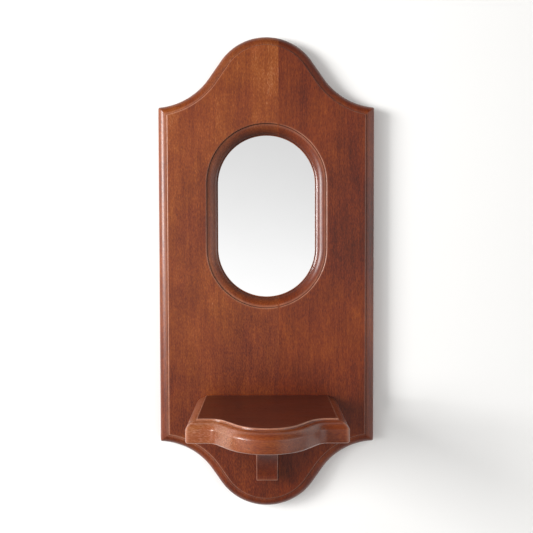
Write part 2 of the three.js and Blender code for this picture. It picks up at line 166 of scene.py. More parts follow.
class Shape:
    """Vertices with two values each, the lightening of the arrises, rubbing plus a painted highlight, and the dark of
    the creases and recesses, stain plus painted shade, and faces.
    """

    def __init__(self):
        self.v, self.w, self.c, self.f = [], [], [], []

    def add(self, points, wear_and_highlight=0.0, crevice_stain_and_shade=0.0):
        first = len(self.v)
        n = len(points)
        self.v += [tuple(p) for p in points]
        self.w += list(np.broadcast_to(wear_and_highlight, n))
        self.c += list(np.broadcast_to(crevice_stain_and_shade, n))
        return list(range(first, first + n))

    def bridge(self, a, b, closed=True):
        n = len(a)
        for i in range(n if closed else n - 1):
            j = (i + 1) % n
            self.f.append((a[i], a[j], b[j], b[i]))

    def cap(self, *rings, normal=(0, 0, 1)):
        """Fills a flat area bounded by the first ring, less the other rings."""
        bm = bmesh.new()
        back = {}
        for ring in rings:
            vs = []
            for i in ring:
                x = bm.verts.new(self.v[i])
                back[x] = i
                vs.append(x)
            for i in range(len(vs)):
                bm.edges.new((vs[i], vs[(i + 1) % len(vs)]))
        bmesh.ops.triangle_fill(bm, use_beauty=True, use_dissolve=False, edges=bm.edges[:], normal=normal)
        for f in bm.faces:
            self.f.append(tuple(back[x] for x in f.verts))
        bm.free()


def mesh_object(name, shape, scale=MM, sharp=32.0):
    me = bpy.data.meshes.new(name)
    me.from_pydata([tuple(c * scale for c in p) for p in shape.v], [], shape.f)
    bm = bmesh.new()
    bm.from_mesh(me)
    bmesh.ops.remove_doubles(bm, verts=bm.verts, dist=1e-7)
    bmesh.ops.dissolve_degenerate(bm, dist=1e-8, edges=bm.edges)
    bmesh.ops.recalc_face_normals(bm, faces=bm.faces)
    bm.to_mesh(me)
    bm.free()
    o = bpy.data.objects.new(name, me)
    bpy.context.scene.collection.objects.link(o)
    o["sharp"] = sharp
    return o


def spread_values(o, shape, scale=MM, reach=2e-6):
    """Puts the lightening and the dark values on the mesh again by place, after cuts have made new vertices."""
    tree = kdtree.KDTree(len(shape.v))
    for i, p in enumerate(shape.v):
        tree.insert(tuple(c * scale for c in p), i)
    tree.balance()
    me = o.data
    wear_and_highlight = np.zeros(len(me.vertices), np.float32)
    crevice_stain_and_shade = np.zeros(len(me.vertices), np.float32)
    for k, v in enumerate(me.vertices):
        _, i, d = tree.find(v.co)
        if d < reach:
            wear_and_highlight[k], crevice_stain_and_shade[k] = shape.w[i], shape.c[i]
    for label, values in (("wear_and_highlight", wear_and_highlight), ("crevice_stain_and_shade", crevice_stain_and_shade)):
        at = me.attributes.get(label) or me.attributes.new(label, "FLOAT", "POINT")
        at.data.foreach_set("value", values)


def smooth(o, angle=None):
    me = o.data
    bm = bmesh.new()
    bm.from_mesh(me)
    limit = math.radians(angle or o.get("sharp", 32.0))
    for f in bm.faces:
        f.smooth = True
    for e in bm.edges:
        e.smooth = len(e.link_faces) == 2 and e.calc_face_angle(0.0) < limit
    bm.to_mesh(me)
    bm.free()


def cut(o, *cutters):
    """Takes the cutters out of o and applies the result."""
    for c in cutters:
        m = o.modifiers.new("cut", "BOOLEAN")
        m.operation = "DIFFERENCE"
        m.solver = "EXACT"
        m.object = c
    dg = bpy.context.evaluated_depsgraph_get()
    dg.update()
    me = bpy.data.meshes.new_from_object(o.evaluated_get(dg))
    o.modifiers.clear()
    old = o.data
    o.data = me
    bpy.data.meshes.remove(old)
    for c in cutters:
        data = c.data
        bpy.data.objects.remove(c)
        bpy.data.meshes.remove(data)
    return o


def lathe(profile, n=40, axis="Y"):
    """A closed solid from (radius, depth) pairs; depth runs towards -Y from the wall."""
    s = Shape()
    rings = []
    for r, d in profile:
        if r < 1e-6:
            rings.append(s.add([(0, -d, 0)]))
        else:
            a = np.linspace(0, 2 * math.pi, n, endpoint=False)
            rings.append(s.add(np.c_[r * np.cos(a), np.full(n, -d), r * np.sin(a)]))
    for a, b in zip(rings, rings[1:]):
        if len(a) == 1 and len(b) == 1:
            continue
        if len(a) == 1:
            s.f += [(a[0], b[(i + 1) % n], b[i]) for i in range(n)]
        elif len(b) == 1:
            s.f += [(a[i], a[(i + 1) % n], b[0]) for i in range(n)]
        else:
            s.bridge(a, b)
    return s


def moved(shape, x=0.0, y=0.0, z=0.0):
    shape.v = [(p[0] + x, p[1] + y, p[2] + z) for p in shape.v]
    return shape


def prism(outline, near, far):
    """An outline in (x, z) between two depths."""
    s = Shape()
    a = s.add([(x, -near, z) for x, z in outline])
    b = s.add([(x, -far, z) for x, z in outline])
    s.bridge(a, b)
    s.cap(a, normal=(0, 1, 0))
    s.cap(b, normal=(0, 1, 0))
    return s


def block(x0, x1, y0, y1, z0, z1):
    s = Shape()
    a = s.add([(x0, y0, z0), (x1, y0, z0), (x1, y0, z1), (x0, y0, z1)])
    b = s.add([(x0, y1, z0), (x1, y1, z0), (x1, y1, z1), (x0, y1, z1)])
    s.bridge(a, b)
    s.f += [tuple(a), tuple(b)]
    return s


# ---------------------------------------------------------------- panel staves

# the light bead, arrises and round foot and the dark step and low round of these edges are partly rubbing and stain,
# partly painted highlight and painted shade
OPENING_EDGE = edge_rows(12.5, 11.7, THICK - STEP, 0.0, THICK, crease=0.7, rub=0.75, rim=0.35, stain=0.75, lip=0.6, bead=0.55)
PANEL_EDGE = edge_rows(10.2, 11.8, THICK - STEP, 2.2, THICK, crease=0.05, rub=0.95, rim=0.3, stain=0.25)
SIDE_CREASE = PANEL_EDGE[0][1]
LIP_CREASE = OPENING_EDGE[0][1]


def whole_panel():
    s = Shape()
    # outside: back arris, side, then the routed edge
    back = [(0.5, 0.0, 0.0), (0.15, 0.15, 0.2), (0.0, 0.5, 0.1), (0.0, 3.0, 0.0), (0.0, 6.5, 0.0)]
    rows = [(u, d, w, 0.0) for u, d, w in back] + PANEL_EDGE
    n = len(panel_ring(0))
    rings = []
    for u, d, w, c in rows:
        p = panel_ring(u)
        # the arris lightening is made stronger towards the lit left side and fainter at the top, a painted highlight;
        # the side and round at the top of the dome are painted dark, a painted shade
        t = np.clip((p[:, 0] + 20) / -80, 0, 1)
        high = np.clip((p[:, 1] - 335) / 25, 0, 1)
        wear_and_left_highlight = (0.3 + 0.65 * t * t * (3 - 2 * t)) * (1 - 0.5 * high * (1 - t))
        painted_shade = 0.20 * high if 2.5 < d < THICK - 0.6 else 0.0
        rings.append(s.add(np.c_[p[:, 0], np.full(n, -d), p[:, 1]], w * wear_and_left_highlight, c + painted_shade))
    for a, b in zip(rings, rings[1:]):
        s.bridge(a, b)
    outer_back, outer_front = rings[0], rings[-1]

    # the opening, from the back: recess of the turn buttons, rebate of the glass, lip, routed edge
    # the last column paints the recesses and the edge by the glass dark: painted shade
    inner = [
        (76.4, 0.0, 0.0, 0.0),
        (76.0, 0.4, 0.15, 0.0),
        (76.0, 3.3, 0.0, 0.5),
        (75.8, 3.5, 0.0, 0.8),
        (70.0, 3.5, 0.0, 0.0),
        (63.3, 3.5, 0.1, 0.0),
        (63.0, 3.8, 0.1, 0.0),
        (63.0, 8.3, 0.0, 0.8),
        (62.8, 8.5, 0.0, 0.8),
        (57.0, 8.5, 0.0, 0.3),
        (56.5, 8.7, 0.0, 0.9),
    ]
    inner += [(OPEN_R + u, d, w, c) for u, d, w, c in OPENING_EDGE]
    rings = []
    for r, d, w, c in inner:
        p = oblong(r)
        # the round and step at the upper left of the opening, turned from the light, are painted dark and their
        # lightening cut back: painted shade
        upper_left = np.clip((0.8 * (p[:, 1] - OPEN_Z - OPEN_S) - p[:, 0]) / 60, 0, 1)
        painted_shade = 0.0
        if d > 8.8:
            painted_shade = (0.34 if d < THICK - STEP else 0.45 * min(1.0, 2 * c)) * upper_left
            w = w * (1 - 0.7 * upper_left)
        rings.append(s.add(np.c_[p[:, 0], np.full(len(p), -d), p[:, 1]], w, c + painted_shade))
    for a, b in zip(rings, rings[1:]):
        s.bridge(a, b)
    s.cap(outer_front, rings[-1], normal=(0, -1, 0))
    s.cap(outer_back, rings[0], normal=(0, 1, 0))
    return s


def seat(x, z, near, length, shank, head):
    h, r = head + 0.3, shank + 0.3
    s = lathe(
        [(0, -1), (h, -1), (h, near + 0.55), (r, near + h - r + 0.55), (r, near + length + 0.3), (0, near + length + 0.3)]
    )
    return moved(s, x=x, z=z)


def round_hole(x, z, near, far, r, n=28):
    return prism(arc(x, z, r, 0, 2 * math.pi, n)[:-1], near, far)


def stave_cutters(side):
    out = [seat(side * 50, -11.5, 0.25, 48, 2, 4.2)]
    x = side * 100
    out.append(prism(oblong(8.3, 16, 14.0, x, 300, 2), -1, 1.5))
    out.append(prism([(x - 5.75, 293.5), (x + 5.75, 293.5), (x + 5.75, 313), (x - 5.75, 313)], -1.5, 8.5))
    for dz in (-16, 16):
        out.append(round_hole(x, 300 + dz, -2, 14.3, 1.8))
        out.append(round_hole(x, 300 + dz, -2.5, 3.1, 2.8))
    for up in (-1, 1):
        out.append(round_hole(side * 69, OPEN_Z + up * 24, 2.5, 12.5, 1.8))
    if side < 0:
        out.append(seat(0, -44, 0.25, 40, 2, 4.2))
        out.append(seat(0, -80, 0.25, 30, 2, 4.2))
    return out


def stave(name, shape, side):
    o = mesh_object(name, shape)
    bm = bmesh.new()
    bm.from_mesh(o.data)
    made = bmesh.ops.bisect_plane(
        bm,
        geom=bm.verts[:] + bm.edges[:] + bm.faces[:],
        dist=1e-7,
        plane_co=(GLUE * MM, 0, 0),
        plane_no=(1, 0, 0),
        clear_outer=side < 0,
        clear_inner=side > 0,
    )
    edges = [e for e in bm.edges if len(e.link_faces) == 1]
    bmesh.ops.triangle_fill(bm, use_beauty=True, use_dissolve=False, edges=edges, normal=(side * -1, 0, 0))
    bmesh.ops.recalc_face_normals(bm, faces=bm.faces)
    bm.to_mesh(o.data)
    bm.free()
    cut(o, *[mesh_object("cutter", c) for c in stave_cutters(side)])
    spread_values(o, shape)
    smooth(o)
    return o


panel_shape = whole_panel()
stave_left = stave("board_left", panel_shape, -1)
stave_right = stave("board_right", panel_shape, 1)

# ---------------------------------------------------------------- shelf


def eased(points, reach):
    """The same points on the curve after a rounding of its turns over a length of reach."""
    step = np.r_[0, np.cumsum(np.hypot(*np.diff(points, axis=0).T))]
    tail = 4 * reach
    head = (points[1] - points[0]) / (step[1] - step[0])
    foot = (points[-1] - points[-2]) / (step[-1] - step[-2])
    at = np.r_[-tail, step, step[-1] + tail]
    pts = np.r_[[points[0] - head * tail], points, [points[-1] + foot * tail]]
    near = np.linspace(-3 * reach, 3 * reach, 61)
    weight = np.exp(-0.5 * (near / reach) ** 2)
    weight /= weight.sum()
    where = step[:, None] + near[None]
    return np.stack([(np.interp(where, at, pts[:, k]) * weight).sum(1) for k in (0, 1)], 1)


def shelf_ring(spread, corner):
    """The shelf's plan in (x, y) at a distance outside the foot of its step, from the back of one
    end round the front to the back of the other; which points lie on a corner comes with it."""
    half, flare, shoulder, crown, crown_r, hollow_r = 72.1, 0.7, 107.6, 146.3, 40.6, 20.8
    turn = math.radians(52)
    rise = crown - shoulder
    straight = (rise - (crown_r + hollow_r) * (1 - math.cos(turn))) / math.sin(turn)
    hollow_x = (crown_r + hollow_r) * math.sin(turn) + straight * math.cos(turn)
    front = -(THICK + shoulder + spread)
    side = half + spread
    cr, hr = crown_r + spread, hollow_r - spread
    c = max(corner, 0.15)
    crown_arc = arc(0, -(THICK + crown + spread) + cr, cr, -math.pi / 2, -math.pi / 2 + turn, 34)
    hollow_arc = arc(hollow_x, front - hr, hr, math.pi / 2 + turn, math.pi / 2, 24)
    corner_arc = arc(side - c, front + c, c, -math.pi / 2, 0, 6)
    right = np.r_[
        crown_arc,
        line(crown_arc[-1], hollow_arc[0], 8)[1:-1],
        hollow_arc,
        line(hollow_arc[-1], corner_arc[0], 8)[1:],
    ]
    whole = eased(np.r_[right[::-1][:-1] * [-1, 1], right], 2.6)
    right = whole[len(right) - 1 :]
    right = np.r_[right, corner_arc[1:], line(corner_arc[-1], (side - flare, -THICK), 24)[1:]]
    on = np.zeros(len(right))
    first = len(right) - 24 - 7
    for k in range(9):
        on[first - 1 + k] = (0.0, 0.5, 1, 1, 1, 1, 1, 0.5, 0.0)[k]
    left = right[::-1][:-1] * [-1, 1]
    return np.r_[left, right], np.r_[on[::-1][:-1], on]


# the step arris is painted light: rubbing plus a painted highlight
SHELF_ROWS = edge_rows(10.4, 11.2, -STEP, 2.4, 0.0, arris=1.25, steps=16, crease=0.0, rub=0.85, rim=0.1, stain=0.0)


def shelf_shape():
    s = Shape()
    w = 10.4
    under = arc(-2.3, -SHELF_T + 2.3, 2.3, -math.pi / 2, 0, 7)  # (outwards, z)
    # the under arris is painted a little light: rubbing plus a painted highlight
    rows = [(w + x, z, 0.1 * math.sin(math.pi * i / 7), 0.0) for i, (x, z) in enumerate(under)]
    rows = [(w - 4.6, -SHELF_T, 0.0, 0.0), (w - 2.9, -SHELF_T, 0.0, 0.0)] + rows
    rows += [(w, -18.0, 0.0, 0.0), (w, -15.5, 0.0, 0.0)]
    rows += [(w - u, d, a, c) for u, d, a, c in SHELF_ROWS]
    rings = []
    for spread, z, wear_and_highlight, crevice_stain_and_shade in rows:
        c = 0.25 + 2.6 * max(0.0, min(1.0, spread / w)) ** 3
        p, on = shelf_ring(spread, c)
        # the corners are painted light: rubbing plus a painted highlight
        strength = 0.4 if z < -STEP else 0.2
        rings.append(s.add(np.c_[p, np.full(len(p), z)], np.maximum(wear_and_highlight, on * strength), crevice_stain_and_shade))
    for a, b in zip(rings, rings[1:]):
        s.bridge(a, b)
    s.cap(rings[0], normal=(0, 0, -1))
    s.cap(rings[-1], normal=(0, 0, 1))
    return s


shelf_made = shelf_shape()
shelf = mesh_object("shelf", shelf_made)
cut(
    shelf,
    *[mesh_object("cutter", round_hole(x, -11.5, 10, 48.55, 2.3)) for x in (-50, 50)],
)
spread_values(shelf, shelf_made)
smooth(shelf)

# ---------------------------------------------------------------- bracket


def bracket_shape():
    width, top, foot, height, soft = 24.5, 62.0, 15.0, 72.5, 1.1
    hi, lo = -SHELF_T, -SHELF_T - height
    p = [np.array(q, float) for q in ((foot, lo + 6), (foot + 6, lo + 24), (foot + 22, lo + 46), (top, hi - 8))]
    t = np.linspace(0, 1, 40)[:, None]
    curve = (1 - t) ** 3 * p[0] + 3 * t * (1 - t) ** 2 * p[1] + 3 * t**2 * (1 - t) * p[2] + t**3 * p[3]
    nose = arc(foot - 1.2, lo + 1.2, 1.2, -math.pi / 2, 0, 5)
    front = np.r_[line((2.0, lo), nose[0], 4)[:-1], nose, line(nose[-1], curve[0], 3)[1:-1], curve, [[top, hi]]]
    # outward normals along the front, and which points lie on the lower arris
    tangent = np.gradient(front, axis=0)
    normal = np.c_[tangent[:, 1], -tangent[:, 0]]
    normal /= np.linalg.norm(normal, axis=1)[:, None]
    normal[-1] = normal[-2] = (1, 0)
    # outward normals along the front, and which points lie on the lower arris, painted light like the cheeks' arrises:
    # rubbing plus a painted highlight
    on = np.zeros(len(front))
    on[4:10] = (0.5, 0.9, 1, 1, 0.9, 0.5)
    s = Shape()
    arris = arc(0, 0, soft, math.pi, math.pi / 2, 5)  # from the cheek to the front
    cols = [(-width / 2, -soft, 0.0), *[(-width / 2 + soft + x, y - soft, 0.45 * math.sin(math.pi * i / 5)) for i, (x, y) in enumerate(arris)]]
    cols = cols[1:]
    cols += [(x, 0.0, 0.0) for x in np.linspace(-width / 2 + soft, width / 2 - soft, 10)[1:-1]]
    cols += [(-x, y, w) for x, y, w in cols[: len(arris)][::-1]]
    rings = []
    for x, y, w in cols:
        q = front + normal * y
        q[-1, 1] = hi
        loop = np.r_[[[0.0, hi], [0.0, lo]], q]
        rings.append(
            s.add(
                np.c_[np.full(len(loop), x), -THICK - loop[:, 0], loop[:, 1]],
                np.r_[0, 0, np.maximum(w, 0.5 * on)],
                0.0,
            )
        )
    for a, b in zip(rings, rings[1:]):
        s.bridge(a, b)
    s.cap(rings[0], normal=(-1, 0, 0))
    s.cap(rings[-1], normal=(1, 0, 0))
    return s


bracket_made = bracket_shape()
bracket = mesh_object("bracket", bracket_made)
cut(
    bracket,
    *[mesh_object("cutter", round_hole(0, z, 10, 0.55 + length, 2.3)) for z, length in ((-44, 40), (-80, 30))],
)
spread_values(bracket, bracket_made)
smooth(bracket)

# ---------------------------------------------------------------- small hardware


def plate_shape(outline, holes, near, far, soft, wear_and_highlight=0.8):
    """A flat plate with softened arrises, its outline and holes in (x, z)."""

    def normals(p):
        t = np.roll(p, -1, 0) - np.roll(p, 1, 0)
        n = np.c_[t[:, 1], -t[:, 0]]
        return n / np.linalg.norm(n, axis=1)[:, None]

    s = Shape()
    ends = []
    for k, ring in enumerate([outline, *holes]):
        ring = np.array(ring, float)
        area = 0.5 * np.sum(ring[:, 0] * np.roll(ring[:, 1], -1) - np.roll(ring[:, 0], -1) * ring[:, 1])
        n = normals(ring) * (1 if area > 0 else -1) * (1 if k == 0 else -1)
        rows = []
        for i in range(4):
            a = math.pi / 2 * i / 3
            rows.append((soft * (1 - math.sin(a)), near + soft * (1 - math.cos(a)), wear_and_highlight * math.sin(2 * a)))
        rows = [(soft + 0.25 * 2.0, near, 0.0)] + rows if k == 0 else [(soft + 0.3, near, 0.0)] + rows
        rows = rows + [(u, near + far - d, w) for u, d, w in rows[::-1]]
        rings = [s.add(np.c_[(ring - n * u)[:, 0], np.full(len(ring), -d), (ring - n * u)[:, 1]], w) for u, d, w in rows]
        for a, b in zip(rings, rings[1:]):
            s.bridge(a, b)
        ends.append((rings[0], rings[-1]))
    s.cap(*[e[0] for e in ends], normal=(0, 1, 0))
    s.cap(*[e[1] for e in ends], normal=(0, -1, 0))
    return s


def finished(name, shape, sharp=32.0, cutters=()):
    o = mesh_object(name, shape, sharp=sharp)
    if cutters:
        cut(o, *[mesh_object("cutter", c) for c in cutters])
    spread_values(o, shape)
    smooth(o)
    return o


pieces = {}

# backing board: its edges are sawn, so barely softened
pieces["backing_board"] = (
    finished("backing", plate_shape(oblong(62.7), [], 3.5, 5.5, 0.25)),
    "backing_board",
    "panel",
)
glass = plate_shape(oblong(62.7), [], 5.5, 8.5, 0.3)
pieces["mirror_glass"] = (finished("glass", glass), "mirror_glass", "panel")

for side in (-1, 1):
    for up in (-1, 1):
        tag = ("upper" if up > 0 else "lower") + "_" + ("right" if side > 0 else "left")
        x, z = side * 69.0, OPEN_Z + up * 24.0
        s = -side
        a0 = -math.pi / 2 if side > 0 else math.pi / 2
        outline = np.r_[
            arc(0, 0, 4.5, a0, a0 + math.pi, 26),
            arc(s * 12.0, 0, 3.0, a0 + math.pi, a0 + 2 * math.pi, 20),
        ]
        hole = arc(0, 0, 1.8, 0, 2 * math.pi, 28)[:-1]
        near = 3.5 - 0.25 - 1.5
        shape = moved(plate_shape(outline, [hole], near, near + 1.5, 0.28), x=x, z=z)
        pieces["turn_button_" + tag] = (finished("button_" + tag, shape), "turn_button_" + tag, "turn_button_" + tag)
        top = 3.5 - 0.25 - 1.5 - 0.2
        head, tall = 3.1, 1.3
        dome = [(head * math.sin(a), top - tall * (math.cos(a) ** 0.75)) for a in np.linspace(0, math.pi / 2 * 0.93, 9)[1:]]
        profile = [(0, top - tall), *dome, (head, top - 0.12), (head - 0.12, top), (1.5, top), (1.5, 8.9), (0.25, 12.0), (0, 12.1)]
        shape = moved(lathe(profile, 44), x=x, z=z)
        angle = (0.4, 1.9, 2.6, 1.1)[(side > 0) * 2 + (up > 0)]
        slot = block(-4.2, 4.2, -(top - tall + 0.62), 3.0, -0.42, 0.42)
        ca, sa = math.cos(angle), math.sin(angle)
        slot.v = [(p[0] * ca - p[2] * sa, p[1], p[0] * sa + p[2] * ca) for p in slot.v]
        pieces["turn_button_screw_" + tag] = (
            finished("button_screw_" + tag, shape, cutters=[moved(slot, x=x, z=z)]),
            "turn_button_screw_" + tag,
            "panel",
        )


def wood_screw(x, z, sunk, length, shank, head, slot_half, slot_deep, angle):
    profile = [
        (0, sunk),
        (head - 0.15, sunk),
        (head, sunk + 0.12),
        (head, sunk + 0.4),
        (shank, sunk + head - shank + 0.4),
        (shank, sunk + length - 2.2 * shank),
        (0.2, sunk + length - 0.15),
        (0, sunk + length),
    ]
    shape = moved(lathe(profile, 40), x=x, z=z)
    slot = block(-head - 1, head + 1, -(sunk + slot_deep), 3.0, -slot_half, slot_half)
    ca, sa = math.cos(angle), math.sin(angle)
    slot.v = [(p[0] * ca - p[2] * sa, p[1], p[0] * sa + p[2] * ca) for p in slot.v]
    return shape, moved(slot, x=x, z=z)


def put_screw(node, label, *spec):
    shape, slot = wood_screw(*spec)
    pieces[node] = (finished(label, shape, cutters=[slot]), node, "panel")


put_screw("shelf_screw_left", "screw_shelf_left", -50, -11.5, 0.25, 48, 2, 4.2, 0.5, 1.1, 0.5)
put_screw("shelf_screw_right", "screw_shelf_right", 50, -11.5, 0.25, 48, 2, 4.2, 0.5, 1.1, 2.2)
put_screw("bracket_screw_upper", "screw_bracket_upper", 0, -44, 0.25, 40, 2, 4.2, 0.5, 1.1, 1.3)
put_screw("bracket_screw_lower", "screw_bracket_lower", 0, -80, 0.25, 30, 2, 4.2, 0.5, 1.1, 2.9)

for side in (-1, 1):
    name = "right" if side > 0 else "left"
    x = side * 100.0
    half = math.asin(2.4 / 4.5)
    mouth = np.r_[
        arc(0, 0, 4.5, math.pi / 2 + half, math.pi * 2.5 - half, 40),
        arc(0, 9.0, 2.4, 0, math.pi, 18),
    ]
    shape = plate_shape(oblong(8.0, 28, 14.0, 0, 0, 3), [mouth], 0.0, 1.5, 0.22)
    shape = moved(shape, x=x, z=300)
    seats = []
    for dz in (-16, 16):
        h, r = 3.5, 1.8
        seats.append(moved(lathe([(0, -1), (h, -1), (h, 0.4), (r, h - r + 0.4), (r, 4), (0, 4)], 40), x=x, z=300 + dz))
    pieces["keyhole_plate_" + name] = (
        finished("hanger_" + name, shape, cutters=seats),
        "keyhole_plate_" + name,
        "panel",
    )
    for up in (-1, 1):
        put_screw(
            "keyhole_plate_screw_" + name + "_" + ("upper" if up > 0 else "lower"),
            "hanger_screw_" + name + "_" + ("upper" if up > 0 else "lower"),
            x, 300 + up * 16, 0.15, 14, 1.5, 3.2, 0.35, 0.8, 0.3 + 0.9 * (side + 2) + 0.7 * up,
        )

pieces["panel_stave_left"] = (stave_left, "panel_stave_left", "panel")
pieces["panel_stave_right"] = (stave_right, "panel_stave_right", "panel")
pieces["shelf_board"] = (shelf, "shelf_board", "panel")
pieces["shelf_bracket"] = (bracket, "shelf_bracket", "panel")

# ---------------------------------------------------------------- materials


class Nodes:
    """Short calls for building a node tree."""

    def __init__(self, name):
        self.mat = bpy.data.materials.new(name)
        self.mat.use_nodes = True
        self.t = self.mat.node_tree
        self.t.nodes.clear()
        self.out = self.t.nodes.new("ShaderNodeOutputMaterial")
        self.bsdf = self.t.nodes.new("ShaderNodeBsdfPrincipled")
        self.t.links.new(self.bsdf.outputs[0], self.out.inputs[0])
        self.coord = self.t.nodes.new("ShaderNodeTexCoord")
        self.geo = self.t.nodes.new("ShaderNodeNewGeometry")

    def put(self, socket, value):
        if isinstance(value, bpy.types.NodeSocket):
            self.t.links.new(value, socket)
        elif value is not None:
            socket.default_value = value

    def math(self, op, a, b=None, c=None, clamp=False):
        n = self.t.nodes.new("ShaderNodeMath")
        n.operation = op
        n.use_clamp = clamp
        for i, x in enumerate((a, b, c)):
            if x is not None:
                self.put(n.inputs[i], x)
        return n.outputs[0]

    def mapped(self, scale, offset=(0, 0, 0), rotation=(0, 0, 0), source=None):
        n = self.t.nodes.new("ShaderNodeMapping")
        self.put(n.inputs["Vector"], source or self.coord.outputs["Object"])
        n.inputs["Location"].default_value = offset
        n.inputs["Rotation"].default_value = rotation
        n.inputs["Scale"].default_value = scale
        return n.outputs[0]

    def noise(self, vector, scale=1.0, detail=2.0, rough=0.5, distortion=0.0):
        n = self.t.nodes.new("ShaderNodeTexNoise")
        self.put(n.inputs["Vector"], vector)
        n.inputs["Scale"].default_value = scale
        n.inputs["Detail"].default_value = detail
        n.inputs["Roughness"].default_value = rough
        n.inputs["Distortion"].default_value = distortion
        return n.outputs["Fac"]

    def voronoi(self, vector, scale=1.0, feature="F1", randomness=1.0):
        n = self.t.nodes.new("ShaderNodeTexVoronoi")
        n.feature = feature
        self.put(n.inputs["Vector"], vector)
        n.inputs["Scale"].default_value = scale
        n.inputs["Randomness"].default_value = randomness
        return n.outputs["Distance"]

    def ramp(self, value, stops, smooth=True):
        n = self.t.nodes.new("ShaderNodeValToRGB")
        n.color_ramp.interpolation = "EASE" if smooth else "LINEAR"
        while len(n.color_ramp.elements) < len(stops):
            n.color_ramp.elements.new(0.5)
        for e, (p, c) in zip(n.color_ramp.elements, stops):
            e.position = p
            e.color = (c, c, c, 1) if not hasattr(c, "__len__") else (*c, 1)
        self.put(n.inputs[0], value)
        return n.outputs[0]

    def range(self, value, a, b, c=0.0, d=1.0, smooth=True):
        n = self.t.nodes.new("ShaderNodeMapRange")
        n.interpolation_type = "SMOOTHSTEP" if smooth else "LINEAR"
        n.clamp = True
        self.put(n.inputs[0], value)
        for i, x in enumerate((a, b, c, d)):
            n.inputs[i + 1].default_value = x
        return n.outputs[0]

    def mix(self, fac, a, b, mode="MIX"):
        n = self.t.nodes.new("ShaderNodeMix")
        n.data_type = "RGBA"
        n.blend_type = mode
        n.clamp_factor = True
        self.put(n.inputs[0], fac)
        for i, x in ((6, a), (7, b)):
            if isinstance(x, bpy.types.NodeSocket):
                self.put(n.inputs[i], x)
            else:
                n.inputs[i].default_value = (*x, 1)
        return n.outputs[2]

    def split(self, vector):
        n = self.t.nodes.new("ShaderNodeSeparateXYZ")
        self.put(n.inputs[0], vector)
        return n.outputs

    def attribute(self, name):
        n = self.t.nodes.new("ShaderNodeAttribute")
        n.attribute_name = name
        return n.outputs["Fac"]

    def bump(self, height, strength, distance, normal=None):
        n = self.t.nodes.new("ShaderNodeBump")
        n.inputs["Strength"].default_value = strength
        n.inputs["Distance"].default_value = distance
        self.put(n.inputs["Height"], height)
        if normal is not None:
            self.put(n.inputs["Normal"], normal)
        return n.outputs[0]


def rgb(r, g, b):
    """An sRGB colour of 0 to 255 in linear light."""
    f = lambda c: c / 12.92 if c <= 0.04045 else ((c + 0.055) / 1.055) ** 2.4
    return tuple(f(v / 255) for v in (r, g, b))


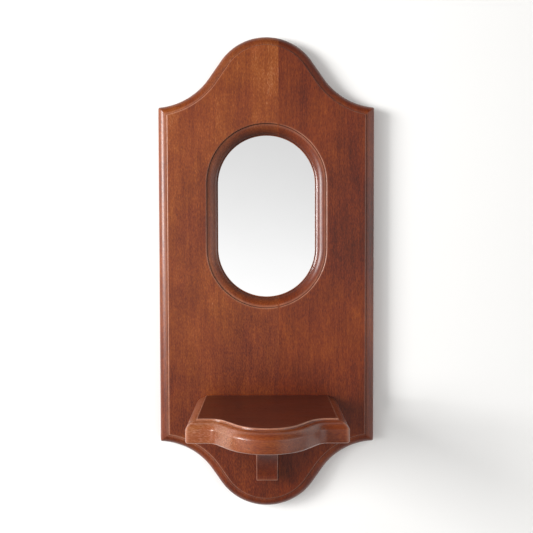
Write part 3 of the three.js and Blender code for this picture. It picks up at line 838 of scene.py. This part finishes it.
def stained_wood(name, grain="Z", seed=0.0, tone=None, depth=0.0, gloss=0.34, coarse=1.0, fine=1.0, tint=(1.0, 1.0, 1.0), coat=0.29, coat_rough=0.24):
    """Stained mahogany under a satin lacquer: blotches of lightness and of hue, fine flecks and short open pores, dark
    creases that are stain plus painted shade, and light arrises that are rubbing plus a painted highlight."""
    m = Nodes(name)
    along = {"X": 0, "Y": 1, "Z": 2}[grain]

    def stretch(across, length):
        s = [across] * 3
        s[along] = length
        return tuple(s)

    shift = (seed * 1.7, seed * 0.9, seed * 2.3)
    other = (seed * 2.9 + 5, seed * 1.3 + 2, seed * 0.7 + 9)
    xyz = m.split(m.coord.outputs["Object"])
    figure = m.noise(m.mapped(stretch(21, 8), shift), 1.0, 3.0, 0.55, 0.6)
    blotch = m.noise(m.mapped(stretch(58, 30), shift), 1.0, 3.0, 0.55, 0.4)
    streak = m.noise(m.mapped(stretch(330, 12), shift), 1.0, 3.0, 0.6, 0.15)
    fleck = m.noise(m.mapped(stretch(1300, 330), shift), 1.0, 2.0, 0.6, 0.0)
    fibre = m.noise(m.mapped(stretch(1900, 70), shift), 1.0, 2.0, 0.6, 0.0)
    pore_cells = m.noise(m.mapped(stretch(1150, 210), other), 1.0, 1.0, 0.5, 0.0)
    pores = m.math("MULTIPLY", m.range(pore_cells, 0.60, 0.72), m.range(blotch, 0.30, 0.62, 0.4, 1.0))

    total = m.math("MULTIPLY_ADD", figure, 0.9 * coarse, m.math("MULTIPLY", blotch, 0.75 * coarse))
    total = m.math("MULTIPLY_ADD", streak, 0.62, total)
    total = m.math("MULTIPLY_ADD", fleck, 1.15 * fine, total)
    total = m.math("MULTIPLY_ADD", fibre, 0.50 * fine, total)
    total = m.math("ADD", total, 0.5 - 0.5 * (1.65 * coarse + 0.62 + 1.65 * fine) + depth)
    if tone is not None:
        total = m.math("ADD", total, tone(m, xyz))
    tones = ((-0.3, rgb(64, 22, 10)), (0.1, rgb(93, 35, 14)), (0.5, rgb(118, 52, 18)), (0.9, rgb(141, 71, 25)), (1.5, rgb(180, 121, 86)))
    colour = m.ramp(m.math("MULTIPLY_ADD", total, 0.5, 0.2), [(0.2 + 0.5 * t, c) for t, c in tones], smooth=False)
    hue = m.noise(m.mapped(stretch(40, 24), other), 1.0, 3.0, 0.5, 0.5)
    r, g, b = tint
    colour = m.mix(1.0, colour, m.ramp(hue, [(0.34, (r, 0.97 * g, 1.08 * b)), (0.66, (r, 1.03 * g, 0.92 * b))]), mode="MULTIPLY")
    colour = m.mix(m.math("MULTIPLY", pores, 0.42), colour, rgb(52, 20, 13))

    # end grain drinks more stain; the dark is also a painted shade on these end faces
    n = m.split(m.geo.outputs["Normal"])
    end = m.range(m.math("ABSOLUTE", n[along]), 0.15, 0.85)
    speck = m.noise(m.mapped((1400, 1400, 1400), shift), 1.0, 2.0, 0.6)
    end_colour = m.mix(m.range(speck, 0.35, 0.7), colour, rgb(70, 32, 22))
    colour = m.mix(m.math("MULTIPLY", end, 0.70), colour, end_colour)

    # the arrises are lighter, unevenly, from rubbing plus a painted highlight, and the creases and recesses are dark
    # from stain plus painted shade
    rub = m.noise(m.mapped((90, 90, 90), shift), 1.0, 4.0, 0.7)
    rub_fine = m.noise(m.mapped((1500, 1500, 1500), shift), 1.0, 2.0, 0.6)
    patchy = m.range(m.math("MULTIPLY_ADD", rub_fine, 0.2, m.math("MULTIPLY", rub, 0.9)), 0.34, 0.74, 0.55, 1.0)
    worn_and_highlit = m.math("MULTIPLY", m.attribute("wear_and_highlight"), patchy)
    colour = m.mix(m.math("MULTIPLY", worn_and_highlit, 0.75), colour, rgb(203, 146, 118))
    crevice_stain_and_shade = m.attribute("crevice_stain_and_shade")
    colour = m.mix(m.math("MULTIPLY", crevice_stain_and_shade, 0.8), colour, rgb(40, 16, 12))

    # the back was stained once and never lacquered
    raw = m.math("MULTIPLY", m.range(n[1], 0.85, 0.98), m.range(xyz[1], -0.0135, -0.0125))
    colour = m.mix(m.math("MULTIPLY", raw, 0.55), colour, m.mix(streak, rgb(92, 52, 36), rgb(150, 98, 66)))
    m.put(m.bsdf.inputs["Base Color"], colour)

    # satin lacquer, a little duller over open pores
    sheen = m.math("MULTIPLY_ADD", blotch, 0.10, gloss - 0.05)
    sheen = m.math("MULTIPLY_ADD", pores, 0.10, sheen)
    sheen = m.math("MULTIPLY_ADD", crevice_stain_and_shade, 0.35, sheen)
    rough = m.math("MULTIPLY_ADD", raw, 0.35, sheen, clamp=True)
    m.put(m.bsdf.inputs["Roughness"], rough)
    m.bsdf.inputs["IOR"].default_value = 1.5
    m.bsdf.inputs["Specular IOR Level"].default_value = 0.27
    m.bsdf.inputs["Coat Weight"].default_value = coat
    m.bsdf.inputs["Coat Roughness"].default_value = coat_rough

    height = m.math("MULTIPLY_ADD", pores, -1.0, m.math("MULTIPLY", fibre, 0.35))
    normal = m.bump(height, 0.30, 0.00010)
    waves = m.noise(m.mapped(stretch(80, 30), shift), 1.0, 2.0, 0.5)
    normal = m.bump(waves, 0.22, 0.0007, normal)
    m.put(m.bsdf.inputs["Normal"], normal)
    return m.mat


def left_tone(m, xyz):
    """Lighter beside the glue line towards the top and deeper in tone below the opening; painted dark from just above
    the shelf down over the foot and along the top of the dome, a painted shade.
    """
    near = m.range(xyz[0], -0.024, -0.012)
    high = m.range(xyz[2], 0.24, 0.36)
    strip = m.math("MULTIPLY", m.math("MULTIPLY", near, high), 0.24)
    under = m.math("MULTIPLY", m.range(xyz[0], -0.075, -0.035), m.range(xyz[2], 0.13, 0.085, 0.0, -0.28))
    low = m.math("MULTIPLY", m.range(xyz[2], 0.08, 0.02), m.range(xyz[0], -0.085, -0.045, -0.23, -0.11))
    foot = m.range(xyz[2], -0.02, -0.07, 0.0, -0.05)
    crown = m.range(xyz[2], 0.401, 0.4095, 0.0, -0.18)
    foot = m.math("ADD", foot, crown)
    return m.math("ADD", m.math("ADD", strip, under), m.math("ADD", low, foot))


def right_tone(m, xyz):
    """Darkest at the outer side beside the opening and deeper towards the top; painted dark from just above the shelf
    down over the foot and along the top of the dome, a painted shade, a little less so at the bottom of the foot.
    """
    outer = m.math("MULTIPLY", m.range(xyz[0], 0.05, 0.10), m.range(xyz[2], 0.10, 0.17, 0.04, -0.38))
    outer = m.math("MULTIPLY", outer, m.range(xyz[2], 0.22, 0.30, 1.0, 0.6))
    top = m.range(xyz[2], 0.32, 0.37, 0.0, -0.12)
    crown = m.range(xyz[2], 0.401, 0.4095, 0.0, -0.14)
    top = m.math("ADD", top, crown)
    low = m.math("ADD", m.range(xyz[2], 0.06, 0.00, 0.0, -0.26), m.range(xyz[2], -0.03, -0.08, 0.0, 0.06))
    return m.math("ADD", m.math("ADD", outer, top), low)


def shelf_tone(m, xyz):
    """The flat top is painted dark, a painted shade; the front is painted paler towards its left end, painted light
    with some paler wood.
    """
    top = m.range(xyz[2], -0.0006, -0.0001, 0.0, -0.62)
    pale = m.math("MULTIPLY", m.range(xyz[0], -0.006, -0.040, 0.0, 0.58), m.range(xyz[2], -0.0005, -0.0016))
    return m.math("ADD", top, pale)


wood_left = stained_wood("stained_wood_left", "Z", 3.1, tone=left_tone, depth=0.06, fine=1.35, tint=(1.0, 0.99, 0.98))
wood_right = stained_wood("stained_wood_right", "Z", 8.4, tone=right_tone, depth=-0.13, coarse=0.8, fine=1.1, tint=(1.02, 0.92, 0.70))
# the shelf's bluer tint is partly a painted sheen
wood_shelf = stained_wood("stained_wood_shelf", "X", 5.2, tone=shelf_tone, depth=-0.05, coarse=0.7, tint=(1.0, 1.02, 1.25), coat=0.6, coat_rough=0.22)
# the bracket is painted much deeper and greyer than the other boards: painted shade under the shelf
wood_bracket = stained_wood("stained_wood_bracket", "Z", 11.7, depth=-0.52, tint=(1.0, 1.02, 1.2))


def silvered_glass():
    m = Nodes("silvered_glass")
    m.bsdf.inputs["Metallic"].default_value = 1.0
    haze = m.noise(m.mapped((9, 9, 9)), 1.0, 3.0, 0.6)
    m.put(m.bsdf.inputs["Base Color"], m.mix(m.range(haze, 0.3, 0.7), rgb(249, 249, 249), rgb(251, 251, 251)))
    dust = m.noise(m.mapped((2600, 2600, 2600)), 1.0, 1.0, 0.5)
    m.put(m.bsdf.inputs["Roughness"], m.math("MULTIPLY_ADD", m.range(dust, 0.72, 0.8), 0.05, 0.012))
    return m.mat


def metal(name, base, dull, rough, seed=0.0, brushed=None):
    m = Nodes(name)
    m.bsdf.inputs["Metallic"].default_value = 1.0
    stain = m.noise(m.mapped((260, 260, 260), (seed, seed, seed)), 1.0, 4.0, 0.65, 0.5)
    fine = m.noise(m.mapped((1900, 1900, 1900), (seed, 0, seed)), 1.0, 2.0, 0.6)
    colour = m.mix(m.range(stain, 0.38, 0.68), rgb(*base), rgb(*dull))
    colour = m.mix(m.math("MULTIPLY", m.attribute("wear_and_highlight"), 0.5), colour, rgb(*[min(255, c + 30) for c in base]))
    m.put(m.bsdf.inputs["Base Color"], colour)
    r = m.math("MULTIPLY_ADD", stain, 0.18, rough - 0.05)
    m.put(m.bsdf.inputs["Roughness"], m.math("MULTIPLY_ADD", fine, 0.10, r, clamp=True))
    lay = m.noise(m.mapped(brushed or (900, 900, 900), (0, seed, 0)), 1.0, 2.0, 0.6)
    m.put(m.bsdf.inputs["Normal"], m.bump(lay, 0.25, 0.00004))
    return m.mat


def hardboard():
    m = Nodes("hardboard")
    wide = m.noise(m.mapped((45, 45, 45)), 1.0, 4.0, 0.6, 0.3)
    felt = m.noise(m.mapped((1200, 1200, 380), rotation=(0, 0.6, 0)), 1.0, 4.0, 0.7, 0.8)
    felt2 = m.noise(m.mapped((380, 1200, 1300), rotation=(0, -0.4, 0)), 1.0, 3.0, 0.7, 0.8)
    both = m.math("MULTIPLY_ADD", felt2, 0.5, m.math("MULTIPLY", felt, 0.5))
    colour = m.ramp(m.math("MULTIPLY_ADD", wide, 0.3, m.math("MULTIPLY", both, 0.8)), [(0.32, rgb(78, 52, 34)), (0.5, rgb(122, 84, 54)), (0.75, rgb(158, 118, 82))])
    m.put(m.bsdf.inputs["Base Color"], colour)
    m.put(m.bsdf.inputs["Roughness"], m.math("MULTIPLY_ADD", felt, 0.15, 0.72))
    mesh = m.voronoi(m.mapped((520, 520, 520)), 1.0)
    m.put(m.bsdf.inputs["Normal"], m.bump(m.math("MULTIPLY_ADD", mesh, 0.5, both), 0.5, 0.00022))
    return m.mat


def plain_wood(name, base, dark, grain="Z"):
    m = Nodes(name)
    s = [700.0] * 3
    s[{"X": 0, "Y": 1, "Z": 2}[grain]] = 40.0
    f = m.noise(m.mapped(tuple(s)), 1.0, 3.0, 0.6)
    m.put(m.bsdf.inputs["Base Color"], m.mix(f, rgb(*dark), rgb(*base)))
    m.put(m.bsdf.inputs["Roughness"], m.math("MULTIPLY_ADD", f, 0.2, 0.6))
    m.put(m.bsdf.inputs["Normal"], m.bump(f, 0.3, 0.0001))
    return m.mat


MATERIAL = {
    "panel_stave_left": (wood_left, "stained_wood_light"),
    "panel_stave_right": (wood_right, "stained_wood"),
    "shelf_board": (wood_shelf, "stained_wood"),
    "shelf_bracket": (wood_bracket, "stained_wood"),
    "mirror_glass": (silvered_glass(), "mirror"),
    "backing_board": (hardboard(), "hardboard"),
}
brass = metal("aged_brass", (196, 154, 84), (138, 100, 52), 0.34, 1.0, (900, 900, 140))
zinc = metal("zinc_plate", (190, 190, 184), (142, 142, 138), 0.36, 4.0, (1100, 1100, 160))
steel = metal("screw_steel", (170, 168, 160), (112, 108, 100), 0.38, 7.0)
beech = plain_wood("beech_dowel", (206, 170, 118), (178, 138, 92), "Z")

for key, (o, node, body) in pieces.items():
    if key in MATERIAL:
        mat, slot = MATERIAL[key]
    elif "screw" in key:
        mat, slot = steel, "screw_steel"
    elif key.startswith("turn_button"):
        mat, slot = brass, "brass"
    else:
        mat, slot = zinc, "plated_steel"
    o.data.materials.clear()
    o.data.materials.append(mat)
    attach(o, body)
    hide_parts(node)

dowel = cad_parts["bracket_dowel"]
dowel.data.materials.clear()
dowel.data.materials.append(beech)

# ---------------------------------------------------------------- wall


def wall():
    """A plain pale wall, open behind the panel."""
    s = Shape()
    out = s.add([(x, 0.5, z) for x, z in ((-3000, -2600), (3000, -2600), (3000, 3000), (-3000, 3000))])
    ring = panel_ring(2.5)
    hole = s.add([(x, 0.5, z) for x, z in ring])
    s.cap(out, hole, normal=(0, -1, 0))
    o = mesh_object("wall", s)
    for p in o.data.polygons:
        if p.normal.y > 0:
            p.flip()
    m = Nodes("wall_paint")
    grain = m.noise(m.mapped((420, 420, 420)), 1.0, 3.0, 0.6)
    wide = m.noise(m.mapped((4, 4, 4)), 1.0, 2.0, 0.5)
    m.put(m.bsdf.inputs["Base Color"], m.mix(wide, rgb(242, 241, 239), rgb(244, 243, 241)))
    m.bsdf.inputs["Roughness"].default_value = 0.85
    m.put(m.bsdf.inputs["Normal"], m.bump(grain, 0.08, 0.0002))
    # a set wall: from behind it isn't there
    clear = m.t.nodes.new("ShaderNodeBsdfTransparent")
    pick = m.t.nodes.new("ShaderNodeMixShader")
    m.put(pick.inputs[0], m.geo.outputs["Backfacing"])
    m.t.links.new(m.bsdf.outputs[0], pick.inputs[1])
    m.t.links.new(clear.outputs[0], pick.inputs[2])
    m.t.links.new(pick.outputs[0], m.out.inputs[0])
    o.data.materials.append(m.mat)
    return o


backdrop = wall()

# ---------------------------------------------------------------- light

scene = bpy.context.scene
world = bpy.data.worlds.new("studio")
scene.world = world
world.use_nodes = True
wt = world.node_tree
wt.nodes.clear()
w_out = wt.nodes.new("ShaderNodeOutputWorld")
w_bg = wt.nodes.new("ShaderNodeBackground")
w_co = wt.nodes.new("ShaderNodeTexCoord")
w_sep = wt.nodes.new("ShaderNodeSeparateXYZ")
wt.links.new(w_co.outputs["Generated"], w_sep.inputs[0])


def world_math(op, a, b=None):
    n = wt.nodes.new("ShaderNodeMath")
    n.operation = op
    for i, x in enumerate((a, b)):
        if isinstance(x, bpy.types.NodeSocket):
            wt.links.new(x, n.inputs[i])
        elif x is not None:
            n.inputs[i].default_value = x
    return n.outputs[0]


def world_ramp(value, low, high, stops):
    fit = wt.nodes.new("ShaderNodeMapRange")
    wt.links.new(value, fit.inputs[0])
    fit.inputs[1].default_value, fit.inputs[2].default_value = low, high
    n = wt.nodes.new("ShaderNodeValToRGB")
    wt.links.new(fit.outputs[0], n.inputs[0])
    n.color_ramp.interpolation = "LINEAR"
    while len(n.color_ramp.elements) < len(stops):
        n.color_ramp.elements.new(0.5)
    for e, (at, c) in zip(n.color_ramp.elements, stops):
        e.position = (at - low) / (high - low)
        e.color = (c, c, c, 1)
    return n.outputs[0]


# a pale room: lit from the left, paler below than above
turn = world_math("ARCTAN2", w_sep.outputs[0], world_math("MULTIPLY", w_sep.outputs[1], -1.0))
ROUND = [
    (-180, 0.5), (-110, 0.6), (-84, 0.8), (-68, 1.5), (-52, 1.7), (-36, 1.35), (-20, 1.2), (-10, 1.08),
    (-5, 1.02), (4, 0.965), (8, 0.72), (15, 0.55), (24, 1.4), (36, 2.6), (60, 2.7), (80, 2.15), (100, 1.1), (120, 0.6), (180, 0.5),
]
RISE = [
    (-1, 0.15), (-0.5, 0.25), (-0.3, 0.36), (-0.2, 0.42), (-0.14, 0.6), (-0.1, 0.97), (-0.08, 1.07), (-0.03, 1.01), (0, 0.95),
    (0.03, 0.893), (0.06, 0.843), (0.1, 0.787), (0.14, 0.747), (0.25, 0.52), (0.38, 0.32), (0.5, 0.2), (0.6, 0.14),
    (0.75, 0.1), (1, 0.08),
]
across = world_ramp(turn, -math.pi, math.pi, [(math.radians(a), c) for a, c in ROUND])
upward = world_ramp(w_sep.outputs[2], -1.0, 1.0, RISE)
wt.links.new(world_math("MULTIPLY", across, upward), w_bg.inputs[1])
w_bg.inputs[0].default_value = (1, 1, 1, 1)
wt.links.new(w_bg.outputs[0], w_out.inputs[0])


def softbox(name, at, aim, width, height, power, colour=(1, 1, 1)):
    light = bpy.data.lights.new(name, "AREA")
    light.shape = "RECTANGLE"
    light.size, light.size_y = width, height
    light.energy = power
    light.color = colour
    o = bpy.data.objects.new(name, light)
    scene.collection.objects.link(o)
    o.location = at
    o.rotation_mode = "QUATERNION"
    o.rotation_quaternion = (Vector(aim) - Vector(at)).to_track_quat("-Z", "Y")
    o.visible_camera = False
    return o


def from_side(turn, rise, far, aim=(0, 0, 0.15)):
    a, e = math.radians(turn), math.radians(rise)
    return tuple(Vector(aim) + far * Vector((math.sin(a) * math.cos(e), -math.cos(a) * math.cos(e), math.sin(e))))


softbox("window", from_side(-60, 9.5, 2.0), (0, 0, 0.15), 0.67, 0.76, 44.5)
softbox("glow", from_side(-46, -4, 2.0), (0, 0, 0.15), 0.70, 0.36, 8)

# ---------------------------------------------------------------- camera and view

cam_data = bpy.data.cameras.new("camera")
cam = bpy.data.objects.new("camera", cam_data)
scene.collection.objects.link(cam)
scene.camera = cam
cam_data.sensor_fit = "HORIZONTAL"
cam_data.sensor_width = 36.0
cam_data.lens = 710.0 * 36.0 / 533.0
cam_data.clip_start = 0.01
cam_data.clip_end = 50
pitch, yaw, roll = math.radians(2.113), math.radians(0.253), math.radians(-0.12)
forward = Vector((math.sin(yaw) * math.cos(pitch), math.cos(yaw) * math.cos(pitch), -math.sin(pitch)))
right = Vector((math.cos(yaw), -math.sin(yaw), 0.0))
up = right.cross(forward)
r2 = right * math.cos(roll) + up * math.sin(roll)
u2 = up * math.cos(roll) - right * math.sin(roll)
basis = Matrix((r2, u2, -forward)).transposed()
cam.matrix_world = Matrix.Translation((-0.00381, -0.8402, 0.1803)) @ basis.to_4x4()

scene.view_settings.view_transform = "Standard"
scene.view_settings.look = "None"
scene.view_settings.exposure = 0.0
scene.view_settings.gamma = 1.0

bpy.context.view_layer.update()
